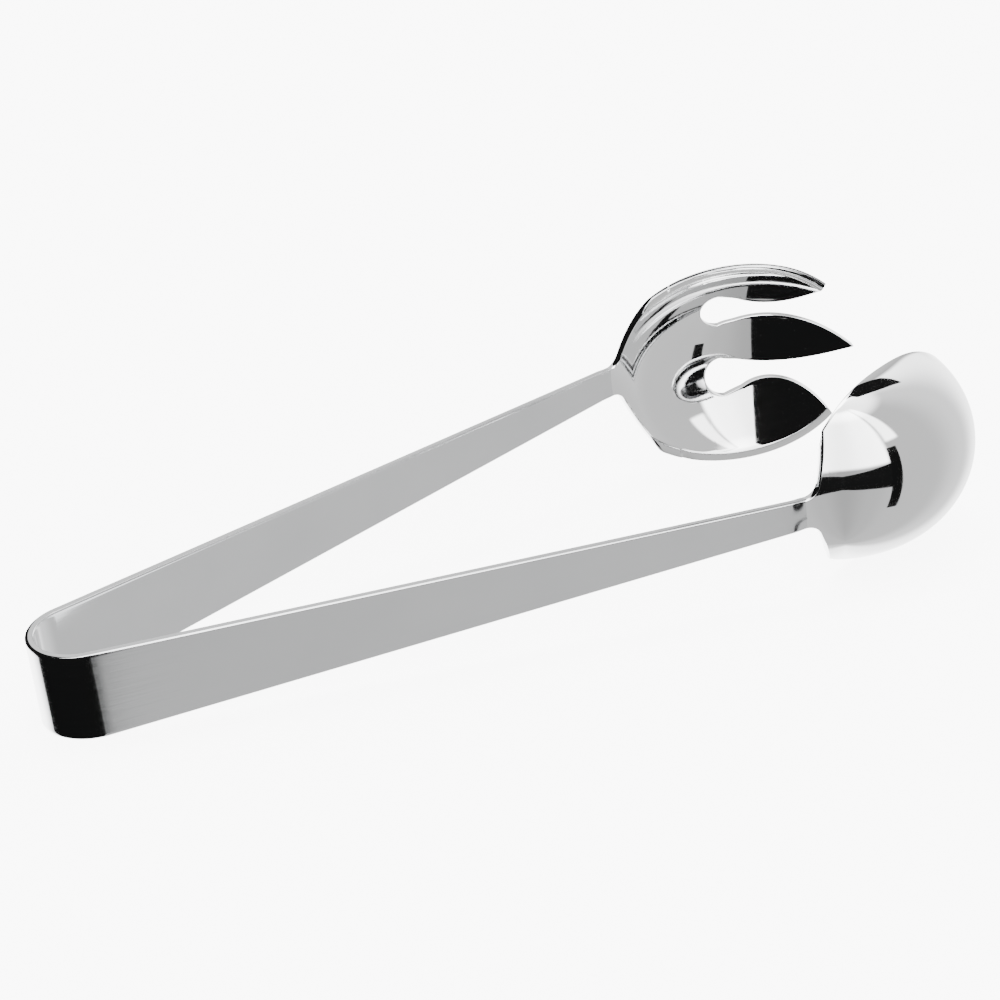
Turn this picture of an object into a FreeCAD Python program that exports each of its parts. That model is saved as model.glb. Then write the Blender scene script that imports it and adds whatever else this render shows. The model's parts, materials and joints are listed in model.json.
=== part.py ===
# Ice tongs: one long stainless blank, bent into a spring bow with two tapering arms,
# a three-pronged claw bowl on one arm and a plain spoon bowl on the other.
#
# Each formed zone of the blank is a sub-part of its own. The tongs lie on their side, as
# they rest on a table: +X runs from the bow to the bowls, +Z is up, the claw arm is on +Y
# and the spoon arm on -Y. The origin is under the middle of the tongs, on the table.
#
# Every sub-part is drawn in the same local way: X along the arm from its own start, Y out
# of the tongs' outer face, Z across the strip's width. Lengths in mm, angles in degrees.

import FreeCAD, Part
import Sketcher
import math
import os
from FreeCAD import Placement, Rotation, Vector

DIMENSIONS = [
    ("stripWidth", 18.1, "width of the strip round the bow"),
    ("stripThickness", 1.7, "thickness of the blank"),
    ("bowRadius", 9.7, "radius of the bow, at the middle of the strip"),
    ("armSplay", 11.3, "angle of each arm to the centre line"),
    ("armLength", 142.8, "from the end of the bow to the neck"),
    ("neckWidth", 6.5, "width of the strip at the neck"),
    ("flareRadius", 3.3, "inside radius where the neck widens into a bowl"),
    ("flareAngle", 70.0, "how steeply the neck widens"),
    ("spoonKick", 20.0, "how far the spoon bowl first bends outward"),
    ("spoonNeckRadius", 22.9, "radius of that outward bend"),
    ("spoonLongRadius", 27.8, "curve of the spoon bowl from neck to tip"),
    ("spoonCrossRadius", 19.2, "curve of the spoon bowl from side to side"),
    ("spoonRimAngle", 30.6, "angle of the spoon's rim to its arm"),
    ("clawKick", 7.5, "how far the claw bowl first bends outward"),
    ("clawNeckRadius", 50.5, "radius of that outward bend"),
    ("clawLongRadius", 35.0, "curve of the claw bowl from neck to tip"),
    ("clawCrossRadius", 26.5, "curve of the claw bowl from side to side"),
    ("clawRimAngle", 32.5, "angle of the claw's rim to its arm"),
    ("slotRootAt", 27.0, "along the rim, from the neck to each slot's round root"),
    ("slotRootAside", 8.1, "from the centre line to the middle of that root"),
    ("slotRootRadius", 4.0, "radius of that root"),
    ("prongWidestAt", 37.6, "along the rim, from the neck to where the prongs are widest"),
    ("middleProngHalf", 5.7, "half the middle prong's greatest width"),
    ("middleProngRadius", 28.0, "curve of the middle prong's sides"),
    ("slotHalf", 9.2, "from the centre line to a slot's outer side at its narrowest"),
    ("outerProngRadius", 13.3, "curve of the outer prongs' inner sides"),
    ("outerProngStart", 6.5, "how far before the widest point that curve starts"),
]

START, END, CENTRE = 1, 2, 3   # the points of a sketch's line or arc
ORIGIN, X_AXIS, Y_AXIS = (-1, 1), -1, -2   # a sketch's own origin and axes
LONG_TURN = 150.0   # the bowls' long curve runs on past the rim's plane, which trims it
TRIM_REACH = 3.0   # trimming outlines reach this many long radii, well clear of a bowl

doc = FreeCAD.newDocument("IceTongs")
sheet = doc.addObject("Spreadsheet::Sheet", "Dimensions")
for row, (alias, value, note) in enumerate(DIMENSIONS, start=1):
    sheet.set(f"A{row}", alias)
    sheet.set(f"B{row}", str(value))
    sheet.set(f"C{row}", note)
    sheet.setAlias(f"B{row}", alias)
doc.recompute()


def size(alias):
    """A driving dimension as a number."""
    return float(sheet.get(alias))


def cosine(angle):
    return math.cos(math.radians(angle))


def sine(angle):
    return math.sin(math.radians(angle))


def new_sketch(body, name, plane):
    """A sketch on one of the body's own origin planes."""
    sketch = body.newObject("Sketcher::SketchObject", name)
    origin_planes = {item.Role: item for item in body.Origin.OriginFeatures}
    sketch.AttachmentSupport = [(origin_planes[plane], "")]
    sketch.MapMode = "FlatFace"
    return sketch


def line(sketch, start, end):
    return sketch.addGeometry(Part.LineSegment(Vector(*start, 0), Vector(*end, 0)), False)


def arc(sketch, centre, radius, start_angle, end_angle):
    """An arc that runs counter-clockwise from start_angle to end_angle."""
    circle = Part.Circle(Vector(*centre, 0), Vector(0, 0, 1), radius)
    span = (math.radians(start_angle), math.radians(end_angle))
    return sketch.addGeometry(Part.ArcOfCircle(circle, *span), False)


def drive(sketch, expression, *constraint):
    """Adds a dimension to the sketch and binds it to the sheet."""
    index = sketch.addConstraint(Sketcher.Constraint(*constraint))
    sketch.setExpression(f"Constraints[{index}]", expression)


def fix(sketch, *constraint):
    sketch.addConstraint(Sketcher.Constraint(*constraint))


def dim(alias):
    return f"<<Dimensions>>.{alias}"


def make_bow():
    """The spring bow: the strip's section turned round the bow's centre."""
    body = doc.addObject("PartDesign::Body", "spring_bow")
    section = new_sketch(body, "BowSection", "XZ_Plane")
    near = size("bowRadius") - size("stripThickness") / 2
    far = near + size("stripThickness")
    top = size("stripWidth") / 2
    corners = [(near, -top), (far, -top), (far, top), (near, top)]
    sides = [line(section, corners[i], corners[(i + 1) % 4]) for i in range(4)]
    for i in range(4):
        fix(section, "Coincident", sides[i], END, sides[(i + 1) % 4], START)
    bottom, outer, upper, inner = sides
    fix(section, "Horizontal", bottom)
    fix(section, "Horizontal", upper)
    fix(section, "Vertical", outer)
    fix(section, "Symmetric", inner, START, inner, END, X_AXIS)
    drive(section, f"{dim('bowRadius')} - {dim('stripThickness')} / 2",
          "DistanceX", *ORIGIN, bottom, START, near)
    drive(section, dim("stripThickness"), "DistanceX", bottom, START, bottom, END, far - near)
    drive(section, dim("stripWidth"), "DistanceY", outer, START, outer, END, 2 * top)
    turn = body.newObject("PartDesign::Revolution", "BowTurn")
    turn.Profile = section
    turn.ReferenceAxis = (section, ["V_Axis"])
    turn.Midplane = True
    turn.setExpression("Angle", f"180 - 2 * {dim('armSplay')}")
    return body


def make_arm(label):
    """A flat arm that tapers evenly from the bow to the neck."""
    body = doc.addObject("PartDesign::Body", label)
    outline = new_sketch(body, "ArmOutline", "XZ_Plane")
    length = size("armLength")
    wide, narrow = size("stripWidth") / 2, size("neckWidth") / 2
    corners = [(0, -wide), (length, -narrow), (length, narrow), (0, wide)]
    lower, neck, upper, root = [line(outline, corners[i], corners[(i + 1) % 4]) for i in range(4)]
    for one, other in ((lower, neck), (neck, upper), (upper, root), (root, lower)):
        fix(outline, "Coincident", one, END, other, START)
    fix(outline, "PointOnObject", root, END, Y_AXIS)
    fix(outline, "Symmetric", root, START, root, END, X_AXIS)
    fix(outline, "Symmetric", neck, START, neck, END, X_AXIS)
    drive(outline, dim("stripWidth"), "DistanceY", root, END, root, START, 2 * wide)
    drive(outline, dim("neckWidth"), "DistanceY", neck, START, neck, END, 2 * narrow)
    drive(outline, dim("armLength"), "DistanceX", lower, START, lower, END, length)
    plate = body.newObject("PartDesign::Pad", "ArmPlate")
    plate.Profile = outline
    plate.Midplane = True
    plate.setExpression("Length", dim("stripThickness"))
    return body


def add_band(body, name, kind, turn_centre, expression):
    """The bowl's section across, a half circle of the blank, and the upright line it turns about."""
    band = new_sketch(body, name, "YZ_Plane")
    middle = size(f"{kind}CrossRadius")
    half = size("stripThickness") / 2
    outer = arc(band, (-middle, 0), middle + half, -90, 90)
    inner = arc(band, (-middle, 0), middle - half, -90, 90)
    low_end = line(band, (-middle, half - middle), (-middle, -middle - half))
    high_end = line(band, (-middle, middle - half), (-middle, middle + half))
    fix(band, "Coincident", outer, CENTRE, inner, CENTRE)
    fix(band, "PointOnObject", outer, CENTRE, X_AXIS)
    for end, corner in ((low_end, START), (high_end, END)):
        fix(band, "Coincident", end, START, inner, corner)
        fix(band, "Coincident", end, END, outer, corner)
        fix(band, "Vertical", outer, corner, outer, CENTRE)
        fix(band, "Vertical", inner, corner, inner, CENTRE)
    cross, thick = dim(f"{kind}CrossRadius"), dim("stripThickness")
    drive(band, cross, "DistanceX", outer, CENTRE, *ORIGIN, middle)
    drive(band, f"{cross} + {thick} / 2", "Radius", outer, middle + half)
    drive(band, f"{cross} - {thick} / 2", "Radius", inner, middle - half)
    axis = line(band, (turn_centre, -middle), (turn_centre, middle))
    band.toggleConstruction(axis)
    fix(band, "Symmetric", axis, START, axis, END, X_AXIS)
    drive(band, cross, "DistanceY", *ORIGIN, axis, END, middle)
    ends = (ORIGIN, (axis, START)) if turn_centre > 0 else ((axis, START), ORIGIN)
    drive(band, expression, "DistanceX", *ends[0], *ends[1], abs(turn_centre))
    return band


def turn_band(body, name, band, expression, inward):
    """Turns a section about its own upright line, inward or outward from the arm."""
    turn = body.newObject("PartDesign::Revolution", name)
    turn.Profile = band
    turn.ReferenceAxis = (band, ["Axis0"])
    turn.Reversed = inward
    turn.setExpression("Angle", expression)
    doc.recompute()
    return turn


def add_shell(body, kind):
    """The bowl's curve from the neck: a short bend outward, then a long one inward to the tip."""
    kick, small = dim(f"{kind}Kick"), dim(f"{kind}NeckRadius")
    start = add_band(body, "NeckBand", kind, size(f"{kind}NeckRadius"), small)
    turn_band(body, "OutwardBend", start, kick, False)
    onward = add_band(body, "BowlBand", kind, -size(f"{kind}LongRadius"), dim(f"{kind}LongRadius"))
    onward.AttachmentOffset = Placement(Vector(), Rotation(Vector(0, 1, 0), -size(f"{kind}Kick")))
    onward.setExpression("AttachmentOffset.Base.x", f"{small} * (1 - cos({kick}))")
    onward.setExpression("AttachmentOffset.Base.z", f"{small} * sin({kick})")
    onward.setExpression("AttachmentOffset.Rotation.Angle", f"{kick}")
    turn_band(body, "LongCurve", onward, str(LONG_TURN), True)


def add_rim_cut(body, kind):
    """Trims the bowl to its rim's plane, which starts at the inside corner of the neck."""
    cut = new_sketch(body, "RimCut", "XY_Plane")
    reach = TRIM_REACH * size(f"{kind}LongRadius")
    slope = math.tan(math.radians(size(f"{kind}RimAngle")))
    inside = size(f"{kind}CrossRadius") - size("stripThickness") / 2
    below = size(f"{kind}CrossRadius") - math.sqrt(inside ** 2 - (size("neckWidth") / 2) ** 2)
    corners = [(-reach, reach * slope - below), (reach, -reach * slope - below),
               (reach, -reach), (-reach, -reach)]
    rim, front, bottom, back = [line(cut, corners[i], corners[(i + 1) % 4]) for i in range(4)]
    for one, other in ((rim, front), (front, bottom), (bottom, back), (back, rim)):
        fix(cut, "Coincident", one, END, other, START)
    fix(cut, "Vertical", back)
    fix(cut, "Horizontal", bottom)
    fix(cut, "Vertical", front)
    corner = cut.addGeometry(Part.Point(Vector(0, -below, 0)), True)
    fix(cut, "PointOnObject", corner, START, Y_AXIS)
    fix(cut, "PointOnObject", corner, START, rim)
    long_radius, cross = dim(f"{kind}LongRadius"), dim(f"{kind}CrossRadius")
    half_neck, half = f"{dim('neckWidth')} / 2", f"{dim('stripThickness')} / 2"
    drive(cut, f"{cross} - sqrt(({cross} - {half}) ^ 2 - ({half_neck}) ^ 2)",
          "DistanceY", corner, START, *ORIGIN, below)
    drive(cut, f"{TRIM_REACH} * {long_radius}", "DistanceX", back, START, *ORIGIN, reach)
    drive(cut, f"{TRIM_REACH} * {long_radius}", "DistanceX", *ORIGIN, front, START, reach)
    drive(cut, f"{TRIM_REACH} * {long_radius}", "DistanceY", bottom, START, *ORIGIN, reach)
    drive(cut, f"-{dim(kind + 'RimAngle')}", "Angle", rim, -math.radians(size(f"{kind}RimAngle")))
    return cut


def add_flare_cut(body, kind):
    """Trims the start of the bowl, above and below, to the neck's widening sides."""
    cut = new_sketch(body, "FlareCut", "XZ_Plane")
    radius, angle = size("flareRadius"), size("flareAngle")
    half = size("neckWidth") / 2
    top = size(f"{kind}CrossRadius") + size("stripThickness")
    back = -size("stripThickness")
    bend_end = (radius * sine(angle), half + radius * (1 - cosine(angle)))
    out = bend_end[0] + (top - bend_end[1]) / math.tan(math.radians(angle))
    for side in (1, -1):
        neck = line(cut, (back, side * half), (0, side * half))
        first, last = (-90, angle - 90) if side > 0 else (90 - angle, 90)
        bend = arc(cut, (0, side * (half + radius)), radius, first, last)
        near, far = (START, END) if side > 0 else (END, START)
        slope = line(cut, (bend_end[0], side * bend_end[1]), (out, side * top))
        over = line(cut, (out, side * top), (back, side * top))
        behind = line(cut, (back, side * top), (back, side * half))
        fix(cut, "Tangent", neck, END, bend, near)
        fix(cut, "Tangent", bend, far, slope, START)
        for one, other in ((slope, over), (over, behind), (behind, neck)):
            fix(cut, "Coincident", one, END, other, START)
        fix(cut, "Horizontal", neck)
        fix(cut, "Horizontal", over)
        fix(cut, "Vertical", behind)
        fix(cut, "PointOnObject", neck, END, Y_AXIS)
        drive(cut, dim("flareRadius"), "Radius", bend, radius)
        drive(cut, dim("flareAngle"), "Angle", bend, math.radians(angle))
        drive(cut, dim("stripThickness"), "DistanceX", neck, START, neck, END, -back)
        high, low = ((neck, END), ORIGIN) if side > 0 else (ORIGIN, (neck, END))
        drive(cut, f"{dim('neckWidth')} / 2", "DistanceY", *low, *high, half)
        high, low = ((over, END), ORIGIN) if side > 0 else (ORIGIN, (over, END))
        drive(cut, f"{dim(kind + 'CrossRadius')} + {dim('stripThickness')}",
              "DistanceY", *low, *high, top)
    return cut


def pocket_through(body, name, sketch):
    """Cuts a sketch through the whole sub-part, both ways from the sketch's plane."""
    before = body.Shape.Volume
    pocket = body.newObject("PartDesign::Pocket", name)
    pocket.Profile = sketch
    pocket.Type = "ThroughAll"
    pocket.Midplane = True
    doc.recompute()
    if body.Shape.Volume >= before:
        raise RuntimeError(f"{body.Label}: {name} cuts nothing")
    return pocket


def make_bowl(label, kind):
    """A pressed bowl: its curved shell, trimmed to the rim and to the neck."""
    body = doc.addObject("PartDesign::Body", label)
    add_shell(body, kind)
    pocket_through(body, "RimTrim", add_rim_cut(body, kind))
    pocket_through(body, "FlareTrim", add_flare_cut(body, kind))
    return body


def add_slot_roots(body):
    """The round roots of the claw's two slots, in the rim's plane."""
    roots = new_sketch(body, "SlotRoots", "XZ_Plane")
    lay_on_rim(roots)
    along, aside, radius = size("slotRootAt"), size("slotRootAside"), size("slotRootRadius")
    for side in (1, -1):
        centre = Vector(along, side * aside, 0)
        root = roots.addGeometry(Part.Circle(centre, Vector(0, 0, 1), radius), False)
        drive(roots, dim("slotRootRadius"), "Radius", root, radius)
        drive(roots, dim("slotRootAt"), "DistanceX", *ORIGIN, root, CENTRE, along)
        high, low = ((root, CENTRE), ORIGIN) if side > 0 else (ORIGIN, (root, CENTRE))
        drive(roots, dim("slotRootAside"), "DistanceY", *low, *high, aside)
    return roots


def lay_on_rim(sketch):
    """Turns a sketch so that its X axis runs along the claw's rim."""
    sketch.AttachmentOffset = Placement(Vector(), Rotation(Vector(0, -1, 0), size("clawRimAngle")))
    sketch.setExpression("AttachmentOffset.Rotation.Angle", dim("clawRimAngle"))


def add_prong_gaps(body):
    """Everything between and before the three prongs, as one closed outline."""
    gaps = new_sketch(body, "ProngGaps", "XZ_Plane")
    lay_on_rim(gaps)
    root, widest = size("slotRootAt"), size("prongWidestAt")
    top = size("slotRootAside") + size("slotRootRadius")
    leaf, leaf_half = size("middleProngRadius"), size("middleProngHalf")
    curve, start = size("outerProngRadius"), size("outerProngStart")
    reach = TRIM_REACH * size("clawLongRadius")
    tip_angle = math.degrees(math.acos((leaf - leaf_half) / leaf))
    root_angle = math.degrees(math.asin((widest - root) / leaf))
    begin_angle = math.degrees(math.asin(start / curve))
    tips, outer_ends = [], []
    for side in (1, -1):
        leaf_middle = (widest, side * (leaf_half - leaf))
        curve_middle = (widest, side * (size("slotHalf") + curve))
        leaf_root = (root, side * (leaf_half - leaf + leaf * cosine(root_angle)))
        curve_root = (widest - start, side * (size("slotHalf") + curve - curve * cosine(begin_angle)))
        curve_end = (widest + curve, curve_middle[1])
        if side > 0:
            leaf_side = arc(gaps, leaf_middle, leaf, 90 - tip_angle, 90 + root_angle)
            prong_side = arc(gaps, curve_middle, curve, 270 - begin_angle, 360)
            near, far = START, END
        else:
            leaf_side = arc(gaps, leaf_middle, leaf, 270 - root_angle, 270 + tip_angle)
            prong_side = arc(gaps, curve_middle, curve, 0, 90 + begin_angle)
            near, far = END, START
        across = line(gaps, leaf_root, (root, side * top))
        shoulder = line(gaps, (root, side * top), curve_root)
        onward = line(gaps, curve_end, (reach, curve_end[1]))
        fix(gaps, "Coincident", leaf_side, far, across, START)
        fix(gaps, "Coincident", across, END, shoulder, START)
        fix(gaps, "Coincident", shoulder, END, prong_side, near)
        fix(gaps, "Coincident", prong_side, far, onward, START)
        fix(gaps, "Vertical", across)
        fix(gaps, "Horizontal", onward)
        fix(gaps, "Horizontal", prong_side, far, prong_side, CENTRE)
        if side > 0:
            fix(gaps, "PointOnObject", leaf_side, near, X_AXIS)
            drive(gaps, dim("middleProngRadius"), "Radius", leaf_side, leaf)
        drive(gaps, dim("outerProngRadius"), "Radius", prong_side, curve)
        drive(gaps, dim("prongWidestAt"), "DistanceX", *ORIGIN, leaf_side, CENTRE, widest)
        drive(gaps, dim("prongWidestAt"), "DistanceX", *ORIGIN, prong_side, CENTRE, widest)
        drive(gaps, dim("slotRootAt"), "DistanceX", *ORIGIN, across, START, root)
        drive(gaps, f"{dim('prongWidestAt')} - {dim('outerProngStart')}",
              "DistanceX", *ORIGIN, shoulder, END, widest - start)
        heights = [
            ((leaf_side, CENTRE), -1, leaf - leaf_half,
             f"{dim('middleProngRadius')} - {dim('middleProngHalf')}"),
            ((prong_side, CENTRE), 1, size("slotHalf") + curve,
             f"{dim('slotHalf')} + {dim('outerProngRadius')}"),
            ((across, END), 1, top, f"{dim('slotRootAside')} + {dim('slotRootRadius')}"),
        ]
        for point, sign, height, expression in heights:
            ends = (ORIGIN, point) if sign * side > 0 else (point, ORIGIN)
            drive(gaps, expression, "DistanceY", *ends[0], *ends[1], height)
        tips.append((leaf_side, near))
        outer_ends.append(onward)
    front = line(gaps, (reach, curve_end[1]), (reach, -curve_end[1]))
    fix(gaps, "Coincident", *tips[0], *tips[1])
    fix(gaps, "Coincident", front, START, outer_ends[1], END)
    fix(gaps, "Coincident", front, END, outer_ends[0], END)
    fix(gaps, "Vertical", front)
    drive(gaps, f"{TRIM_REACH} * {dim('clawLongRadius')}",
          "DistanceX", *ORIGIN, front, START, reach)
    return gaps


def arm_placement(side, along):
    """Where a local frame stands, at a distance along the claw arm (+1) or spoon arm (-1)."""
    splay = side * size("armSplay")
    turn = Rotation(Vector(0, 0, 1), splay) * Rotation(Vector(1, 0, 0), 90 - side * 90)
    bow_end = Vector(-sine(size("armSplay")), side * cosine(size("armSplay")), 0) * size("bowRadius")
    return Placement(bow_end + Vector(cosine(splay), sine(splay), 0) * along, turn)


def lowest_rim_point(side, kind):
    """The rim's lowest point when the tongs lie on their side."""
    kick, rim = size(f"{kind}Kick"), size(f"{kind}RimAngle")
    small, large = size(f"{kind}NeckRadius"), size(f"{kind}LongRadius")
    cross, half = size(f"{kind}CrossRadius"), size("stripThickness") / 2
    outward = Vector(sine(rim), cosine(rim), 0)
    centre = Vector((small + large) * sine(kick), small - (small + large) * cosine(kick), 0)
    below = cross - math.sqrt((cross - half) ** 2 - (size("neckWidth") / 2) ** 2)
    to_plane = -(centre.dot(outward) + below * cosine(rim))
    depth = large - to_plane
    reach = math.sqrt((cross + half) ** 2 - (cross - depth) ** 2)
    local = centre + outward * to_plane + Vector(0, 0, -side * reach)
    return arm_placement(side, size("armLength")).multVec(local)


def rest_rotation():
    """Turns the tongs onto the three points they lie on: the bow's lower edge and both rims."""
    claw, spoon = lowest_rim_point(1, "claw"), lowest_rim_point(-1, "spoon")
    lean = Vector(-1, 0, 0)
    up = Vector(0, 0, 1)
    for _ in range(8):
        bow = lean * (size("bowRadius") + size("stripThickness") / 2)
        bow.z = -size("stripWidth") / 2
        up = (spoon - bow).cross(claw - bow).normalize()
        lean = Vector(-up.x, -up.y, 0).normalize()
    return Rotation(Vector(0, 0, 1), up).inverted()


bow = make_bow()
claw_arm = make_arm("claw_arm")
spoon_arm = make_arm("spoon_arm")
claw_bowl = make_bowl("claw_bowl", "claw")
pocket_through(claw_bowl, "SlotRootCut", add_slot_roots(claw_bowl))
pocket_through(claw_bowl, "ProngCut", add_prong_gaps(claw_bowl))
spoon_bowl = make_bowl("spoon_bowl", "spoon")

neck_at = size("armLength")
local_places = [
    (bow, Placement(Vector(), Rotation(Vector(0, 0, 1), 180))),
    (claw_arm, arm_placement(1, 0)),
    (spoon_arm, arm_placement(-1, 0)),
    (claw_bowl, arm_placement(1, neck_at)),
    (spoon_bowl, arm_placement(-1, neck_at)),
]
rest = Placement(Vector(), rest_rotation())
for body, place in local_places:
    body.Placement = rest * place
doc.recompute()

# The origin goes to the table, under the middle of the whole.
whole = Part.makeCompound([body.Shape for body, _ in local_places]).optimalBoundingBox()
middle = Vector((whole.XMin + whole.XMax) / 2, (whole.YMin + whole.YMax) / 2, whole.ZMin)
for body, place in local_places:
    body.Placement = Placement(-middle, Rotation()) * rest * place
doc.recompute()

for item in doc.Objects:
    if "Invalid" in item.State or "Error" in item.State:
        raise RuntimeError(f"{item.Label} failed: {item.State}")
os.makedirs("parts", exist_ok=True)
for body, _ in local_places:
    if body.Shape.isNull() or not body.Shape.isValid() or len(body.Shape.Solids) != 1:
        raise RuntimeError(f"{body.Label} is not one valid solid")
    body.Shape.exportStep(f"parts/{body.Label}.step")
    print(body.Label, "volume", round(body.Shape.Volume, 1), "mm3")

# Where each half of the bow flexes: the middle of its quarter turn of strip, on the bow's
# own axis direction. An arm that turns about this line moves as the bent strip moves it.
placed = Placement(-middle, Rotation()) * rest
half_turn = math.radians(90 - size("armSplay")) / 2
flex_reach = size("bowRadius") * math.sin(half_turn) / half_turn
for label, side in (("claw_arm_flex", 1), ("spoon_arm_flex", -1)):
    flex = Vector(-math.cos(half_turn), side * math.sin(half_turn), 0) * flex_reach
    print(label, "at", placed.multVec(flex), "along", rest.Rotation.multVec(Vector(0, 0, -side)))
for label, side in (("claw_arm", 1), ("spoon_arm", -1)):
    face = arm_placement(side, size("armLength") / 2)
    outside = placed.multVec(face.multVec(Vector(0, size("stripThickness") / 2, 0)))
    normal = (placed * face).Rotation.multVec(Vector(0, 1, 0))
    print(label, "outer face at", outside, "facing", normal)
print("overall size", whole.XLength, whole.YLength, whole.ZLength)
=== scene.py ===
import json
import math
import bmesh
import bpy
import numpy as np
from mathutils import Matrix


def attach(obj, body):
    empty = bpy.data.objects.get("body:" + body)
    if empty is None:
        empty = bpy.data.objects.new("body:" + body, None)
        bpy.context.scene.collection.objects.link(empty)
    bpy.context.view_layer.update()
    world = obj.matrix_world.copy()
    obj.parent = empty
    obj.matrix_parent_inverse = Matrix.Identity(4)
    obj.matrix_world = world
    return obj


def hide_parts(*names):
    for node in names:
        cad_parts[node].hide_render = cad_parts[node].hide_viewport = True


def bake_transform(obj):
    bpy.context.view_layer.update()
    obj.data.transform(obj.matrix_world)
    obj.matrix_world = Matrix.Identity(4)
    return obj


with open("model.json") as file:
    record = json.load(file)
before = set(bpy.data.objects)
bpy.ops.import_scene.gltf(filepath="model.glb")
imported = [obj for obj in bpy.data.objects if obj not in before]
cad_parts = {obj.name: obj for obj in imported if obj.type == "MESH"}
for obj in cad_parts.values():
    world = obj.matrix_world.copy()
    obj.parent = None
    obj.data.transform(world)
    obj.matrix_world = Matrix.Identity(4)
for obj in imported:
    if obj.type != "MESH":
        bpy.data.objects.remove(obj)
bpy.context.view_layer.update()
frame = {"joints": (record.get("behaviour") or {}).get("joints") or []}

print("frame loaded")

# lengths in millimetres and angles in degrees; the tongs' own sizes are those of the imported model
mm = 0.001
strip = {
    "width": 18.1,
    "thickness": 1.7,
    "bowRadius": 9.7,
    "splay": 11.3,
    "armLength": 142.8,
    "neckWidth": 6.5,
    "neckRamp": 3.0,  # length over which the flat strip takes up the bowl's cross curve
    "edgeRound": 0.28,
    "flareRadius": 3.3,
    "flareAngle": 70.0,
    "flareReach": 14.0,  # further than this past the arm's end, only the rim bounds a bowl
    "flareInset": 2.4,  # most that the flare draws in for its rounded edge, as a multiple of it
    "mapHalf": 9.0,  # half width of the strip on its own map
}
mesh = {
    "columns": 40,
    "bowRows": 60,
    "armRows": 70,
    "rampRows": 16,
    "bendRows": 46,
    "bowlRows": 120,
    "earlyRows": 14,
    "splitRows": 46,
    "prongRows": 70,
    "rootRows": 28,
    "outerColumns": 22,
    "leafColumns": 30,
    "endRow": 0.01,  # short rows at the cut ends keep their edges crisp
    "endTurn": 0.0005,  # the same in radians, where a bowl starts
    "widthRounds": 12,  # rounds of substitution that settle a half width
    "tipRounds": 50,  # halvings that find a prong's tip
    "weld": 2e-6,  # metres
    "speck": 1e-7,  # metres
    "crease": 50.0,
}

halfThick = strip["thickness"] / 2
roundIn = strip["edgeRound"]
cornerShare = 1 - math.cos(math.radians(45))  # where the middle of a rounded corner lies
edgeSection = [  # height from the middle surface and inset from the edge, round one long edge
    (halfThick - cornerShare * roundIn, cornerShare * roundIn),
    (halfThick - roundIn, 0),
    (0, 0),
    (roundIn - halfThick, 0),
    (cornerShare * roundIn - halfThick, cornerShare * roundIn),
]


def unit(vector):
    # vector / its length
    return vector / np.linalg.norm(vector)


# the bow's own axes and centre, worked out from the two flexing lines of the frame
joints = {joint["name"]: joint for joint in frame["joints"]}
clawLine = np.array(joints["claw_flex"]["pos_m"])
spoonLine = np.array(joints["spoon_flex"]["pos_m"])
upAxis = unit(-np.array(joints["claw_flex"]["axis"]))
sideAxis = clawLine - spoonLine
sideAxis = unit(sideAxis - upAxis * (sideAxis @ upAxis))
longAxis = np.cross(sideAxis, upAxis)
quarterTurn = math.radians(90 - strip["splay"])
flexReach = strip["bowRadius"] * math.sin(quarterTurn / 2) / (quarterTurn / 2)
bowCentre = (clawLine + spoonLine) / 2 + longAxis * math.cos(quarterTurn / 2) * flexReach * mm


def toRow(x, y, z):
    # centre + x along the tongs + y to the claw's side + z across the strip, in metres
    points = np.stack(np.broadcast_arrays(x, y, z), axis=-1) * mm
    return bowCentre + points @ np.array([longAxis, sideAxis, upAxis])


def onArm(side, along, out, z):
    # arm start + along * (cos, sin of the splay) + out * (-sin, cos of the splay), mirrored for the spoon
    splay = math.radians(strip["splay"])
    x = -strip["bowRadius"] * math.sin(splay) + along * math.cos(splay) - out * math.sin(splay)
    y = strip["bowRadius"] * math.cos(splay) + along * math.sin(splay) + out * math.cos(splay)
    return toRow(x, side * y, z)


def ease(value):
    # 3 v^2 - 2 v^3, with v held between 0 and 1
    value = np.clip(value, 0, 1)
    return value * value * (3 - 2 * value)


def towardTip(rows):
    # sine of even steps over a quarter turn: shares from 0 to 1 that close up toward a tip
    return np.sin(np.linspace(0, math.pi / 2, rows))[1:]


# each surface below takes f from -1 to 1 across, h out of the middle surface and d in from the edge


def archDrop(kind, h, z):
    # how the section falls away across: sqrt((cross radius + h)^2 - z^2) - cross radius
    cross = kind["crossRadius"]
    return np.sqrt(np.maximum((cross + h) ** 2 - z ** 2, 0)) - cross


def armSurface(side, kind):
    # a quarter turn of the bow radius, then a straight taper from strip width to neck width
    flatLength = strip["armLength"] - strip["neckRamp"]
    firstTurn = mesh["endRow"] / strip["bowRadius"]
    turn = np.concatenate([[0, firstTurn], np.linspace(0, quarterTurn, mesh["bowRows"])[1:]])
    flat = np.linspace(0, flatLength, mesh["armRows"])[1:]
    ramp = flatLength + np.linspace(0, strip["neckRamp"], mesh["rampRows"])[1:-1]
    along = np.concatenate([flat, ramp, [strip["armLength"] - mesh["endRow"], strip["armLength"]]])

    def points(f, h, d):
        f = np.asarray(f)[None, :]
        radius = strip["bowRadius"] + h
        bowZ = f * (strip["width"] / 2 - d)
        bow = toRow(-radius * np.cos(turn)[:, None], side * radius * np.sin(turn)[:, None], bowZ)
        share = along[:, None] / strip["armLength"]
        half = (strip["width"] + (strip["neckWidth"] - strip["width"]) * share) / 2 - d
        z = f * half
        settle = ease((along[:, None] - strip["armLength"] + strip["neckRamp"]) / strip["neckRamp"])
        out = h + (archDrop(kind, h, z) - h) * settle
        return np.concatenate([bow, onArm(side, along[:, None], out, z)])

    lengths = np.concatenate([turn * strip["bowRadius"], quarterTurn * strip["bowRadius"] + along])
    return points, lengths


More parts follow.
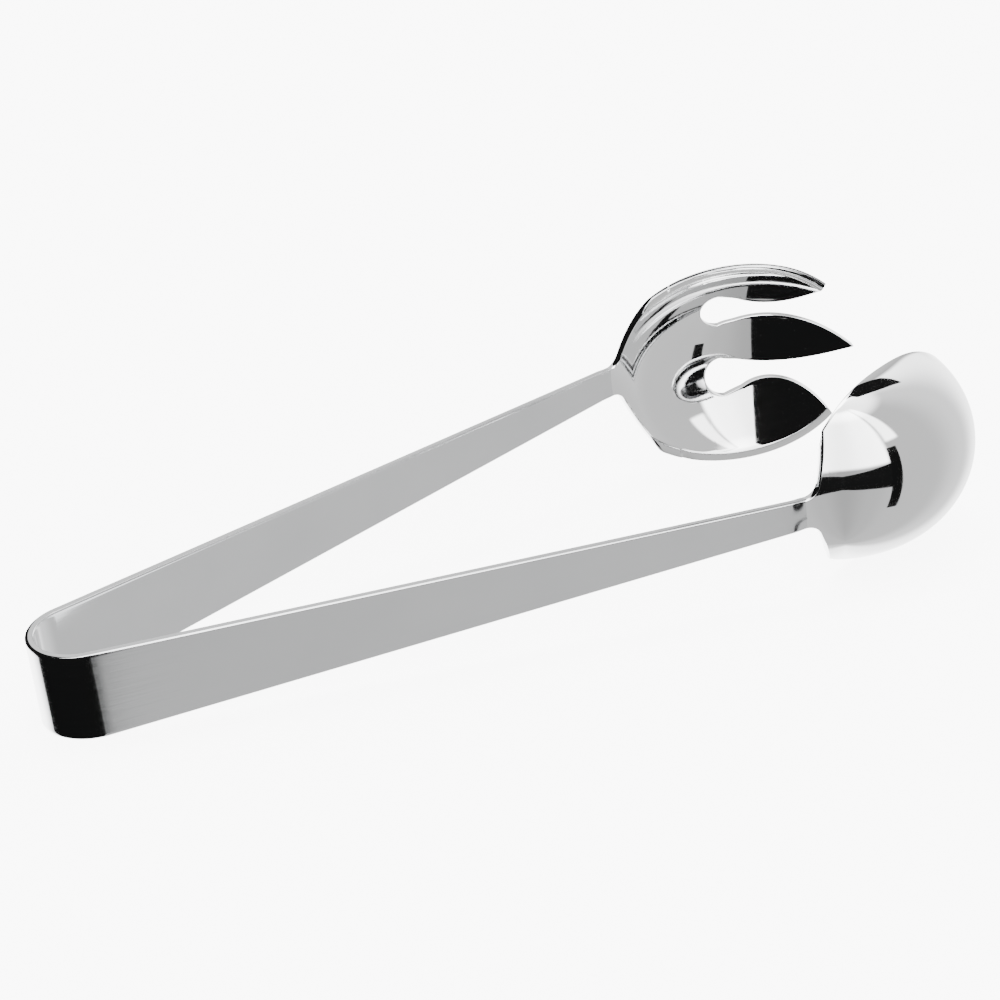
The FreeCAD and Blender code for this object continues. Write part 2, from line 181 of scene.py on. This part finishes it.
def bowlPlan(kind):
    # centre of the long curve, the rim's direction and normal, and the rim plane's distance
    kick, rim = math.radians(kind["kick"]), math.radians(kind["rimAngle"])
    small, large = kind["neckRadius"], kind["longRadius"]
    inside = kind["crossRadius"] - halfThick
    below = kind["crossRadius"] - math.sqrt(inside ** 2 - (strip["neckWidth"] / 2) ** 2)
    centre = np.array([(small + large) * math.sin(kick), small - (small + large) * math.cos(kick)])
    along, out = np.array([math.cos(rim), -math.sin(rim)]), np.array([math.sin(rim), math.cos(rim)])
    plane = -below * math.cos(rim) - centre @ out
    return {"kick": kick, "rim": rim, "centre": centre, "along": along, "out": out, "plane": plane,
            "centreAlong": centre @ along, "below": below}


def rimHalf(kind, h, reach):
    # half width at reach from the long curve's axis: sqrt((cross radius + h)^2 - rise^2)
    rise = reach - kind["longRadius"] + kind["crossRadius"]
    return np.sqrt(np.maximum((kind["crossRadius"] + h) ** 2 - rise ** 2, 0))


def flareHalf(u, d):
    # the neck's widening side: a fillet arc, then a straight slope
    radius, angle = strip["flareRadius"], math.radians(strip["flareAngle"])
    half = strip["neckWidth"] / 2
    bendU, bendZ = radius * math.sin(angle), half + radius * (1 - math.cos(angle))
    arc = half + radius - np.sqrt(np.maximum(radius ** 2 - np.clip(u, 0, bendU) ** 2, 0))
    slope = bendZ + (u - bendU) * math.tan(angle)
    inset = np.where(u < bendU, d, d / math.cos(angle))
    return np.where(u < bendU, arc, slope) - np.minimum(inset, d * strip["flareInset"])


def bendRow(kind, angle, z, h):
    # outward bend: centre (0, small) + (small - drop) * (sin, -cos)
    reach = kind["neckRadius"] - archDrop(kind, h, z)
    return reach * np.sin(angle), kind["neckRadius"] - reach * np.cos(angle)


def longRow(kind, plan, heading, z, h):
    # long curve: centre + (long radius + drop) * (sin, cos of the heading)
    reach = kind["longRadius"] + archDrop(kind, h, z)
    return plan["centre"][0] + reach * np.sin(heading), plan["centre"][1] + reach * np.cos(heading)


def overRim(kind, plan, e, z, h):
    # the same curve as a height over the rim's plane: sqrt((long radius + drop)^2 - e^2)
    reach = kind["longRadius"] + archDrop(kind, h, z)
    offset = e - plan["centreAlong"]
    height = np.sqrt(np.maximum(reach ** 2 - offset ** 2, 0)) + plan["centre"] @ plan["out"]
    u = e * plan["along"][0] + height * plan["out"][0]
    n = e * plan["along"][1] + height * plan["out"][1]
    return u, n


def bendHalf(kind, plan, angle, h, d):
    # narrower of the flare and the rim plane along the outward bend, by a few rounds of substitution
    half = np.full_like(angle, strip["neckWidth"] / 2 - d)
    for step in range(mesh["widthRounds"]):
        u = bendRow(kind, angle, half, h)[0]
        depth = plan["below"] - d + u * math.tan(plan["rim"])
        reach = (kind["neckRadius"] + depth) / np.cos(angle)
        rise = kind["neckRadius"] + kind["crossRadius"] - reach
        rim = np.sqrt(np.maximum((kind["crossRadius"] + h) ** 2 - rise ** 2, 0))
        half = np.maximum(np.minimum(flareHalf(u, d), rim), strip["neckWidth"] / 2 - d)
    return half


def headingHalf(kind, plan, heading, h, d):
    # narrower of the flare and the rim along the long curve, by the same rounds
    rim = rimHalf(kind, h, (plan["plane"] + d) / np.cos(heading - plan["rim"]))
    half = rim
    for step in range(mesh["widthRounds"]):
        u = longRow(kind, plan, heading, half, h)[0]
        half = np.where(u < strip["flareReach"], np.minimum(rim, flareHalf(u, d)), rim)
    return half


def bendAngles(plan):
    # even angles over the outward bend, after one very short first row
    return np.concatenate([[0, mesh["endTurn"]], np.linspace(0, plan["kick"], mesh["bendRows"])[1:]])


spoon = {
    "kick": 20.0,
    "neckRadius": 22.9,
    "longRadius": 27.8,
    "crossRadius": 19.2,
    "rimAngle": 30.6,
    "mapHalf": 19.0,
}


def spoonSurface(plan):
    # outward bend, then headings from -kick to the tip, each row f * its half width across
    bend = bendAngles(plan)
    share = towardTip(mesh["bowlRows"])

    def points(f, h, d):
        f = np.asarray(f)[None, :]
        half = bendHalf(spoon, plan, bend, h, d)
        z1 = f * half[:, None]
        u1, n1 = bendRow(spoon, bend[:, None], z1, h)
        tip = plan["rim"] + math.acos((plan["plane"] + d) / (spoon["longRadius"] + h))
        heading = -plan["kick"] + (tip + plan["kick"]) * share
        wide = headingHalf(spoon, plan, heading, h, d)
        wide[-1] = 0
        z2 = f * wide[:, None]
        u2, n2 = longRow(spoon, plan, heading[:, None], z2, h)
        return onArm(-1, strip["armLength"] + np.concatenate([u1, u2]), np.concatenate([n1, n2]),
                     np.concatenate([z1, z2]))

    start = plan["kick"] * spoon["neckRadius"]
    tipLength = spoon["longRadius"] * (2 * plan["rim"] + plan["kick"])
    lengths = np.concatenate([bend * spoon["neckRadius"], start + share * tipLength])
    return points, lengths


claw = {
    "kick": 7.5,
    "neckRadius": 50.5,
    "longRadius": 35.0,
    "crossRadius": 26.5,
    "rimAngle": 32.5,
    "rootAt": 27.0,
    "rootAside": 8.1,
    "rootRadius": 4.0,
    "widestAt": 37.6,
    "leafHalf": 5.7,
    "leafRadius": 28.0,
    "slotHalf": 9.2,
    "prongRadius": 13.3,
    "prongStart": 6.5,
    "leafBlend": 4.0,  # length over which the round root runs into the middle prong's side
    "flareSweep": 9.0,  # turn past the bend over which the rows still follow the flare
    "flareFade": 2.5,  # how fast the flare's last narrowing is let go toward the slots
    "splitShare": 0.45,  # share of the half width given to the middle prong's columns
    "mapHalf": 24.0,  # the rest are places and sizes on the claw's own map
    "mapStart": 5.5,
    "mapBody": 20.0,
    "mapRoot": 30.0,
    "mapOuter": 22.0,
    "mapLeaf": 26.0,
    "mapAside": 16.0,
    "outerMapHalf": 5.0,
    "leafMapHalf": 6.0,
}


def clawSurface(plan):
    # outward bend, a short flared stretch of headings, then even steps over the rim's plane to the slots
    bend = bendAngles(plan)
    flareEnd = -plan["kick"] + math.radians(claw["flareSweep"])
    early = np.linspace(-plan["kick"], flareEnd, mesh["earlyRows"])[1:]
    share = np.linspace(0, 1, mesh["splitRows"])[1:]
    splitAt = claw["rootAt"] - claw["rootRadius"] - roundIn

    def points(f, h, d):
        f = np.asarray(f)[None, :]
        half = bendHalf(claw, plan, bend, h, d)
        z1 = f * half[:, None]
        u1, n1 = bendRow(claw, bend[:, None], z1, h)
        wide = headingHalf(claw, plan, early, h, d)
        z2 = f * wide[:, None]
        u2, n2 = longRow(claw, plan, early[:, None], z2, h)
        # the last flared row, and its edge, as places along the rim's plane
        fromE, edgeFrom = [plan["centreAlong"] + (claw["longRadius"] + archDrop(claw, h, z))
                           * math.sin(early[-1] - plan["rim"]) for z in (z2[-1:], wide[-1])]
        edgeE = edgeFrom + (splitAt - edgeFrom) * share
        rimWide = rimHalf(claw, h, np.hypot(plan["plane"] + d, edgeE - plan["centreAlong"]))
        rimWide = rimWide - (rimWide[0] - wide[-1]) * (1 - ease(share * claw["flareFade"]))
        # the columns spread so that the middle group ends at the slot roots
        splitShare = claw["splitShare"]
        lastSplit = claw["rootAside"] / rimWide[-1]
        split = splitShare + (lastSplit - splitShare) * ease(share)[:, None]
        size = np.abs(f)
        inner = size / splitShare * split
        outer = split + (size - splitShare) / (1 - splitShare) * (1 - split)
        z3 = np.sign(f) * np.where(size < splitShare, inner, outer) * rimWide[:, None]
        e3 = fromE + (splitAt - fromE) * share[:, None]
        u3, n3 = overRim(claw, plan, e3, z3, h)
        return onArm(1, strip["armLength"] + np.concatenate([u1, u2, u3]), np.concatenate([n1, n2, n3]),
                     np.concatenate([z1, z2, z3]))

    start = plan["kick"] * claw["neckRadius"]
    lengths = np.concatenate([bend * claw["neckRadius"], start + (early + plan["kick"]) * claw["longRadius"],
                              start + claw["mapStart"] + share * claw["mapBody"]])
    return points, lengths


def slotSide(e, d):
    # the outer prong's inner side: a straight shoulder from the root, then an arc of the prong's radius
    arcFrom = claw["widestAt"] - claw["prongStart"]
    middle = claw["slotHalf"] + claw["prongRadius"]

    def arc(at):
        inside = (claw["prongRadius"] - d) ** 2 - (at - claw["widestAt"]) ** 2
        return middle - np.sqrt(np.maximum(inside, 0))

    top = claw["rootAside"] + claw["rootRadius"] + d
    straight = top + (arc(arcFrom) - top) * (e - claw["rootAt"]) / (arcFrom - claw["rootAt"])
    return np.where(e < arcFrom, straight, arc(e))


def leafSide(e, d):
    # the middle prong's side: half - radius + sqrt(radius^2 - e^2), eased out of the round root
    reach = claw["leafRadius"] - d
    flat = claw["leafHalf"] - claw["leafRadius"]
    curve = flat + np.sqrt(np.maximum(reach ** 2 - (e - claw["widestAt"]) ** 2, 0))
    atRoot = flat + math.sqrt(reach ** 2 - (claw["rootAt"] - claw["widestAt"]) ** 2)
    rootSide = claw["rootAside"] - claw["rootRadius"] - d
    return curve + (rootSide - atRoot) * (1 - ease((e - claw["rootAt"]) / claw["leafBlend"]))


def prongTip(plan, h, d):
    # where the outer prong's inner side meets the rim, by halving
    low, high = claw["widestAt"], claw["widestAt"] + claw["prongRadius"] - d
    for step in range(mesh["tipRounds"]):
        e = (low + high) / 2
        rim = rimHalf(claw, h, math.hypot(plan["plane"] + d, e - plan["centreAlong"]))
        low, high = (e, high) if rim > slotSide(e, d) else (low, e)
    return low


def outerProng(plan, side):
    # slot side + (rim - slot side) * w, with the round root first and then the prong to its tip
    turn = np.linspace(0, math.pi / 2, mesh["rootRows"])
    share = towardTip(mesh["prongRows"])

    def points(f, h, d):
        w = (np.asarray(f)[None, :] + 1) / 2
        grown = claw["rootRadius"] + d
        tip = prongTip(plan, h, d)
        onE = claw["rootAt"] + (tip - claw["rootAt"]) * share
        slotE = np.concatenate([claw["rootAt"] - grown * np.cos(turn), onE])
        slotZ = np.concatenate([claw["rootAside"] + grown * np.sin(turn), slotSide(onE, d)])
        rimE = np.concatenate([claw["rootAt"] - (claw["rootRadius"] + roundIn) * np.cos(turn), onE])
        rimZ = rimHalf(claw, h, np.hypot(plan["plane"] + d, rimE - plan["centreAlong"]))
        rimZ[-1] = slotZ[-1]
        e = slotE[:, None] + (rimE - slotE)[:, None] * w
        z = slotZ[:, None] + (rimZ - slotZ)[:, None] * w
        u, n = overRim(claw, plan, e, z, h)
        return onArm(1, strip["armLength"] + u, n, side * z)

    lengths = np.concatenate([claw["mapRoot"] - claw["rootRadius"] * np.cos(turn),
                              claw["mapRoot"] + claw["mapOuter"] * share])
    return points, lengths


def middleProng(plan):
    # f * half width across, between the two round roots first and then to the point
    turn = np.linspace(0, math.pi / 2, mesh["rootRows"])
    share = towardTip(mesh["prongRows"])

    def points(f, h, d):
        f = np.asarray(f)[None, :]
        grown = claw["rootRadius"] + d
        tip = claw["widestAt"] + math.sqrt((claw["leafRadius"] - d) ** 2
                                           - (claw["leafRadius"] - claw["leafHalf"]) ** 2)
        onE = claw["rootAt"] + (tip - claw["rootAt"]) * share
        e = np.concatenate([claw["rootAt"] - grown * np.cos(turn), onE])
        half = np.concatenate([claw["rootAside"] - grown * np.sin(turn), leafSide(onE, d)])
        half[-1] = 0
        z = f * half[:, None]
        u, n = overRim(claw, plan, np.broadcast_to(e[:, None], z.shape), z, h)
        return onArm(1, strip["armLength"] + u, n, z)

    lengths = np.concatenate([claw["mapRoot"] - claw["rootRadius"] * np.cos(turn),
                              claw["mapRoot"] + claw["mapLeaf"] * share])
    return points, lengths


def ringGrid(points, columns):
    # one closed section for each row: outer face, rounded edge, inner face, rounded edge
    parts = [points(columns, halfThick, roundIn)]
    parts += [points([1], h, d) for h, d in edgeSection]
    parts += [points(columns[::-1], -halfThick, roundIn)]
    parts += [points([-1], h, d) for h, d in edgeSection[::-1]]
    return np.concatenate(parts, axis=1)


def sideways(columns, half):
    # each ring point's place across the map: f * half, held along the rounded edges
    places = np.asarray(columns) * half
    held = np.full(len(edgeSection), half)
    return np.concatenate([places, held, places[::-1], -held])


def makePiece(name, patches, capLast):
    # joins the ring grids, closes the cut ends and welds what they share
    verts, faces, uvs, start = [], [], [], 0
    for number, (grid, lengths, places) in enumerate(patches):
        rows, around = grid.shape[:2]
        index = start + np.arange(rows * around).reshape(rows, around)
        ahead = np.roll(index, -1, axis=1)
        quads = np.stack([index[:-1], ahead[:-1], ahead[1:], index[1:]], axis=-1).reshape(-1, 4)
        verts.append(grid.reshape(-1, 3))
        uvs.append(np.stack([np.repeat(lengths, around) * mm, np.tile(places, rows) * mm], axis=-1))
        faces += quads.tolist()
        if number == 0:
            faces.append(index[0][::-1].tolist())
            if capLast:
                faces.append(index[-1].tolist())
        start += rows * around
    data = bpy.data.meshes.new(name)
    data.from_pydata(np.concatenate(verts).tolist(), [], faces)
    layer = data.uv_layers.new(name="stripMap")
    loopVerts = np.empty(len(data.loops), np.int32)
    data.loops.foreach_get("vertex_index", loopVerts)
    layer.data.foreach_set("uv", np.concatenate(uvs)[loopVerts].astype(np.float32).ravel())
    work = bmesh.new()
    work.from_mesh(data)
    bmesh.ops.remove_doubles(work, verts=work.verts, dist=mesh["weld"])
    bmesh.ops.dissolve_degenerate(work, edges=work.edges, dist=mesh["speck"])
    bmesh.ops.recalc_face_normals(work, faces=work.faces)
    openEdges = sum(1 for edge in work.edges if not edge.is_manifold)
    work.to_mesh(data)
    work.free()
    data.shade_smooth()
    data.set_sharp_from_angle(angle=math.radians(mesh["crease"]))
    piece = bpy.data.objects.new(name, data)
    bpy.context.scene.collection.objects.link(piece)
    print(name, "made with", len(data.polygons), "faces and", openEdges, "open edges")
    return piece


def makeStrip(name, side, kind):
    # half the bow and one whole arm
    columns = np.linspace(-1, 1, mesh["columns"] + 1)
    points, lengths = armSurface(side, kind)
    patch = (ringGrid(points, columns), lengths, sideways(columns, strip["mapHalf"]))
    return makePiece(name, [patch], True)


def makeSpoon(name):
    # the whole bowl in one patch
    columns = np.linspace(-1, 1, 2 * mesh["columns"] + 1)
    points, lengths = spoonSurface(bowlPlan(spoon))
    patch = (ringGrid(points, columns), lengths, sideways(columns, spoon["mapHalf"]))
    return makePiece(name, [patch], False)


def makeClaw(name):
    # the bowl as far as the slot roots, then the two outer prongs and the middle one
    plan = bowlPlan(claw)
    low = np.linspace(-1, -claw["splitShare"], mesh["outerColumns"] + 1)
    mid = np.linspace(-claw["splitShare"], claw["splitShare"], mesh["leafColumns"] + 1)
    columns = np.concatenate([low, mid[1:], -low[::-1][1:]])
    points, lengths = clawSurface(plan)
    patches = [(ringGrid(points, columns), lengths, sideways(columns, claw["mapHalf"]))]
    columns = np.linspace(-1, 1, mesh["outerColumns"] + 1)
    for side in (1, -1):
        points, lengths = outerProng(plan, side)
        places = side * claw["mapAside"] + sideways(columns, claw["outerMapHalf"])
        patches.append((ringGrid(points, columns), lengths, places))
    columns = np.linspace(-1, 1, mesh["leafColumns"] + 1)
    points, lengths = middleProng(plan)
    patches.append((ringGrid(points, columns), lengths, sideways(columns, claw["leafMapHalf"])))
    return makePiece(name, patches, False)


armPieces = {"clawStrip": makeStrip("clawStrip", 1, claw), "spoonStrip": makeStrip("spoonStrip", -1, spoon)}
spoonBowl = makeSpoon("spoonShell")
clawBowl = makeClaw("clawShell")
print("meshes made")


def newMaterial(name):
    # a fresh material and its surface shader
    material = bpy.data.materials.new(name)
    material.use_nodes = True
    return material, material.node_tree.nodes["Principled BSDF"]


def grain(nodes, links, scale, detail, stretch, source):
    # noise of the place * stretch * scale: stretched along the strip, it reads as brush lines
    where = nodes.new("ShaderNodeTexCoord")
    mapping = nodes.new("ShaderNodeMapping")
    mapping.inputs["Scale"].default_value = stretch
    noise = nodes.new("ShaderNodeTexNoise")
    noise.inputs["Scale"].default_value = scale
    noise.inputs["Detail"].default_value = detail
    links.new(where.outputs[source], mapping.inputs["Vector"])
    links.new(mapping.outputs["Vector"], noise.inputs["Vector"])
    return noise.outputs["Fac"]


def ranged(nodes, links, value, fromEdge, toEdge, low, high, kind="LINEAR"):
    # low to high as the value goes from one edge to the other
    step = nodes.new("ShaderNodeMapRange")
    step.interpolation_type = kind
    for name, number in (("From Min", fromEdge), ("From Max", toEdge), ("To Min", low), ("To Max", high)):
        step.inputs[name].default_value = number
    links.new(value, step.inputs["Value"])
    return step.outputs["Result"]


def bumped(nodes, links, height, strength, depth):
    # a bump whose relief is height * depth
    bump = nodes.new("ShaderNodeBump")
    bump.inputs["Strength"].default_value = strength
    bump.inputs["Distance"].default_value = depth
    links.new(height, bump.inputs["Height"])
    return bump


def steel(name, look):
    # metal whose tone and slow waves follow a cloud, and whose roughness and fine bump follow brush lines
    material, shader = newMaterial(name)
    nodes, links = material.node_tree.nodes, material.node_tree.links
    shader.inputs["Metallic"].default_value = 1.0
    lines = grain(nodes, links, 1.0, look["lineDetail"], look["lineScale"], "UV")
    cloud = grain(nodes, links, look["cloudScale"], look["cloudDetail"], (1, 1, 1), "Object")
    tone = nodes.new("ShaderNodeMix")
    tone.data_type = "RGBA"
    tone.inputs["A"].default_value = (*look["dark"], 1)
    tone.inputs["B"].default_value = (*look["light"], 1)
    links.new(cloud, tone.inputs["Factor"])
    links.new(tone.outputs["Result"], shader.inputs["Base Color"])
    roughness = ranged(nodes, links, lines, *look["lineRange"], *look["roughness"])
    links.new(roughness, shader.inputs["Roughness"])
    bump = bumped(nodes, links, lines, look["bumpStrength"], look["bumpDepth"])
    wave = bumped(nodes, links, cloud, look["waveStrength"], look["waveDepth"])
    links.new(wave.outputs["Normal"], bump.inputs["Normal"])
    links.new(bump.outputs["Normal"], shader.inputs["Normal"])
    return material


satinLook = {  # bump depths are in metres
    "dark": (0.66, 0.67, 0.68),
    "light": (0.76, 0.765, 0.77),
    "roughness": (0.07, 0.14),
    "lineScale": (60, 2600, 1),
    "lineDetail": 4.0,
    "lineRange": (0.3, 0.7),
    "cloudScale": 55.0,
    "cloudDetail": 3.0,
    "bumpStrength": 0.12,
    "bumpDepth": 0.00002,
    "waveStrength": 0.05,
    "waveDepth": 0.0002,
}
mirrorLook = {
    "dark": (0.80, 0.805, 0.81),
    "light": (0.87, 0.872, 0.875),
    "roughness": (0.025, 0.07),
    "lineScale": (90, 900, 1),
    "lineDetail": 4.0,
    "lineRange": (0.3, 0.7),
    "cloudScale": 70.0,
    "cloudDetail": 3.0,
    "bumpStrength": 0.02,
    "bumpDepth": 0.00001,
    "waveStrength": 0.05,
    "waveDepth": 0.00015,
}
satinSteel = steel("satinSteel", satinLook)
mirrorSteel = steel("mirrorSteel", mirrorLook)
for piece in armPieces.values():
    piece.data.materials.append(satinSteel)
for piece in (spoonBowl, clawBowl):
    piece.data.materials.append(mirrorSteel)
print("finishes made")

# each strip is baked where it stands, and each bowl rides with its arm's side
bowRear = toRow(-strip["bowRadius"], 0, 0).tolist()
sides = (("clawStrip", 1, "claw_side", "claw_arm"), ("spoonStrip", -1, "spoon_side", "spoon_arm"))
for name, side, body, arm in sides:
    armStart = onArm(side, 0, 0, 0).tolist()
    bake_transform(armPieces[name])
    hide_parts(arm, "spring_bow")
for piece, body, node in ((clawBowl, "claw_side", "claw_bowl"), (spoonBowl, "spoon_side", "spoon_bowl")):
    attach(piece, body)
    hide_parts(node)
print("bodies joined")

floorLook = {"reach": 3.0, "tone": 0.93, "glow": 7.0, "roughness": 0.9}  # reach in metres


def glowing(material, shader, tone, glow):
    # a surface with no shine and an even light of its own
    shader.inputs["Base Color"].default_value = (tone, tone, tone, 1)
    shader.inputs["Specular IOR Level"].default_value = 0.0
    shader.inputs["Emission Color"].default_value = (1, 1, 1, 1)
    shader.inputs["Emission Strength"].default_value = glow
    return material


def makeFloor():
    # a square from -reach to reach at the foot of the tongs
    reach = floorLook["reach"]
    data = bpy.data.meshes.new("floor")
    corners = [(-reach, -reach, 0), (reach, -reach, 0), (reach, reach, 0), (-reach, reach, 0)]
    data.from_pydata(corners, [], [(0, 1, 2, 3)])
    floor = bpy.data.objects.new("floor", data)
    bpy.context.scene.collection.objects.link(floor)
    material, shader = newMaterial("paleFloor")
    shader.inputs["Roughness"].default_value = floorLook["roughness"]
    data.materials.append(glowing(material, shader, floorLook["tone"], floorLook["glow"]))
    floor.visible_glossy = False  # the steel mirrors the studio round it, not the floor's own glare


studio = {
    "levels": [  # bearing round the tongs, brightness there
        (-180, 0.7), (-118, 0.62), (-96, 0.80), (-75, 0.92), (-40, 0.95), (0, 1.5), (35, 4.0), (70, 8.0),
        (110, 8.0), (150, 1.6), (180, 0.7),
    ],
    "softboxes": [  # bearings and heights that each covers, in degrees, and how many times brighter it is
        {"bearing": (-124, -80), "height": (12, 80), "soft": 5, "times": 8.0},
        {"bearing": (-77, -64), "height": (34, 80), "soft": 4, "times": 6.0},
        {"bearing": (40, 135), "height": (2, 62), "soft": 12, "times": 0.16},
    ],
    "sky": 3.0,  # added overhead
    "skyFrom": 0.90,  # upward part of the direction where the sky starts
    "skyFull": 0.97,
}
panels = [  # route seen from above, then lower and upper edge at its two ends, from the part's origin
    {"name": "sideWall", "low": (-900, -900), "high": (3000, 3000), "shade": 0.010,
     "route": [(-111, -292), (-330, -420), (-560, -300), (-640, -60), (-560, 160), (-403, 256)]},
    {"name": "farWall", "low": (-40, -40), "high": (900, 900), "shade": 0.010,
     "route": [(-403, 256), (-250, 380), (-40, 420)]},
    {"name": "cameraBand", "low": (-55, -90), "high": (55, 107), "shade": 0.012,
     "route": [(-147, -386), (20, -430), (187, -420)]},
    {"name": "lampStand", "low": (-151, -151), "high": (137, 137), "shade": 0.010,
     "route": [(104, -250), (140, -245)]},
    {"name": "overheadBoom", "low": (205, 205), "high": (620, 620), "shade": 0.012,
     "route": [(220, 4), (126, 106)]},
]


def combined(nodes, links, kind, first, second):
    # one step of sums, where either value may be a plain number
    step = nodes.new("ShaderNodeMath")
    step.operation = kind
    for value, socket in ((first, step.inputs[0]), (second, step.inputs[1])):
        if isinstance(value, (int, float)):
            socket.default_value = value
        else:
            links.new(value, socket)
    return step.outputs["Value"]


def makeWorld():
    # brightness by bearing, times each card, and a plain bright sky overhead
    world = bpy.data.worlds.new("studio")
    bpy.context.scene.world = world
    world.use_nodes = True
    nodes, links = world.node_tree.nodes, world.node_tree.links
    split = nodes.new("ShaderNodeSeparateXYZ")
    links.new(nodes.new("ShaderNodeTexCoord").outputs["Generated"], split.inputs["Vector"])
    toDegrees = math.degrees(1)
    bearing = combined(nodes, links, "ARCTAN2", split.outputs["Y"], split.outputs["X"])
    bearing = combined(nodes, links, "MULTIPLY", bearing, toDegrees)
    height = combined(nodes, links, "ARCSINE", split.outputs["Z"], 0.0)
    height = combined(nodes, links, "MULTIPLY", height, toDegrees)
    steps = studio["levels"]
    light = steps[0][1]
    for (fromAngle, low), (toAngle, high) in zip(steps, steps[1:]):
        change = ranged(nodes, links, bearing, fromAngle, toAngle, 0.0, high - low, "SMOOTHSTEP")
        light = combined(nodes, links, "ADD", light, change)
    for box in studio["softboxes"]:
        cover = 1.0
        for value, (low, high) in ((bearing, box["bearing"]), (height, box["height"])):
            for edge, before, after in ((low, 0.0, 1.0), (high, 1.0, 0.0)):
                side = ranged(nodes, links, value, edge - box["soft"] / 2, edge + box["soft"] / 2,
                              before, after, "SMOOTHSTEP")
                cover = combined(nodes, links, "MULTIPLY", side, cover)
        share = combined(nodes, links, "MULTIPLY", cover, box["times"] - 1)
        light = combined(nodes, links, "MULTIPLY", light, combined(nodes, links, "ADD", share, 1.0))
    overhead = ranged(nodes, links, split.outputs["Z"], studio["skyFrom"], studio["skyFull"],
                      0.0, studio["sky"], "SMOOTHSTEP")
    light = combined(nodes, links, "ADD", light, overhead)
    nodes["Background"].inputs["Color"].default_value = (1, 1, 1, 1)
    links.new(light, nodes["Background"].inputs["Strength"])


def makePanel(look):
    # an upright dark panel along its route, seen only in the steel
    route = np.array(look["route"], float)
    count = len(route)
    edges = [np.column_stack([route, np.linspace(*look[edge], count)]) * mm for edge in ("low", "high")]
    faces = [(i, i + 1, count + i + 1, count + i) for i in range(count - 1)]
    data = bpy.data.meshes.new(look["name"])
    data.from_pydata(np.concatenate(edges).tolist(), [], faces)
    panel = bpy.data.objects.new(look["name"], data)
    bpy.context.scene.collection.objects.link(panel)
    material, shader = newMaterial(look["name"])
    data.materials.append(glowing(material, shader, 0, look["shade"]))
    panel.visible_camera = panel.visible_diffuse = panel.visible_shadow = False


makeFloor()
for look in panels:
    makePanel(look)
makeWorld()

camera = {
    "eye": (-127.1, -444.9, 277.5),  # from the bow's centre
    "azimuth": -26.03,
    "elevation": 28.91,
    "roll": -6.67,
    "lens": 101.4,
    "nearest": 0.01,  # metres
}


def makeCamera():
    # back = (sin az cos el, -cos az cos el, sin el), with right and up turned about it by the roll
    azimuth, elevation, roll = (math.radians(camera[key]) for key in ("azimuth", "elevation", "roll"))
    back = np.array([math.sin(azimuth) * math.cos(elevation), -math.cos(azimuth) * math.cos(elevation),
                     math.sin(elevation)])
    right = unit(np.cross([0, 0, 1], back))
    up = np.cross(back, right)
    turned = math.cos(roll) * right + math.sin(roll) * up
    upright = -math.sin(roll) * right + math.cos(roll) * up
    axes = np.array([longAxis, sideAxis, upAxis])
    lens = bpy.data.cameras.new("camera")
    lens.lens = camera["lens"]
    lens.clip_start = camera["nearest"]
    holder = bpy.data.objects.new("camera", lens)
    matrix = np.eye(4)
    matrix[:3, :3] = np.stack([turned @ axes, upright @ axes, back @ axes], axis=1)
    matrix[:3, 3] = toRow(*camera["eye"])
    holder.matrix_world = Matrix(matrix.tolist())
    bpy.context.scene.collection.objects.link(holder)
    bpy.context.scene.camera = holder


makeCamera()
print("studio made")
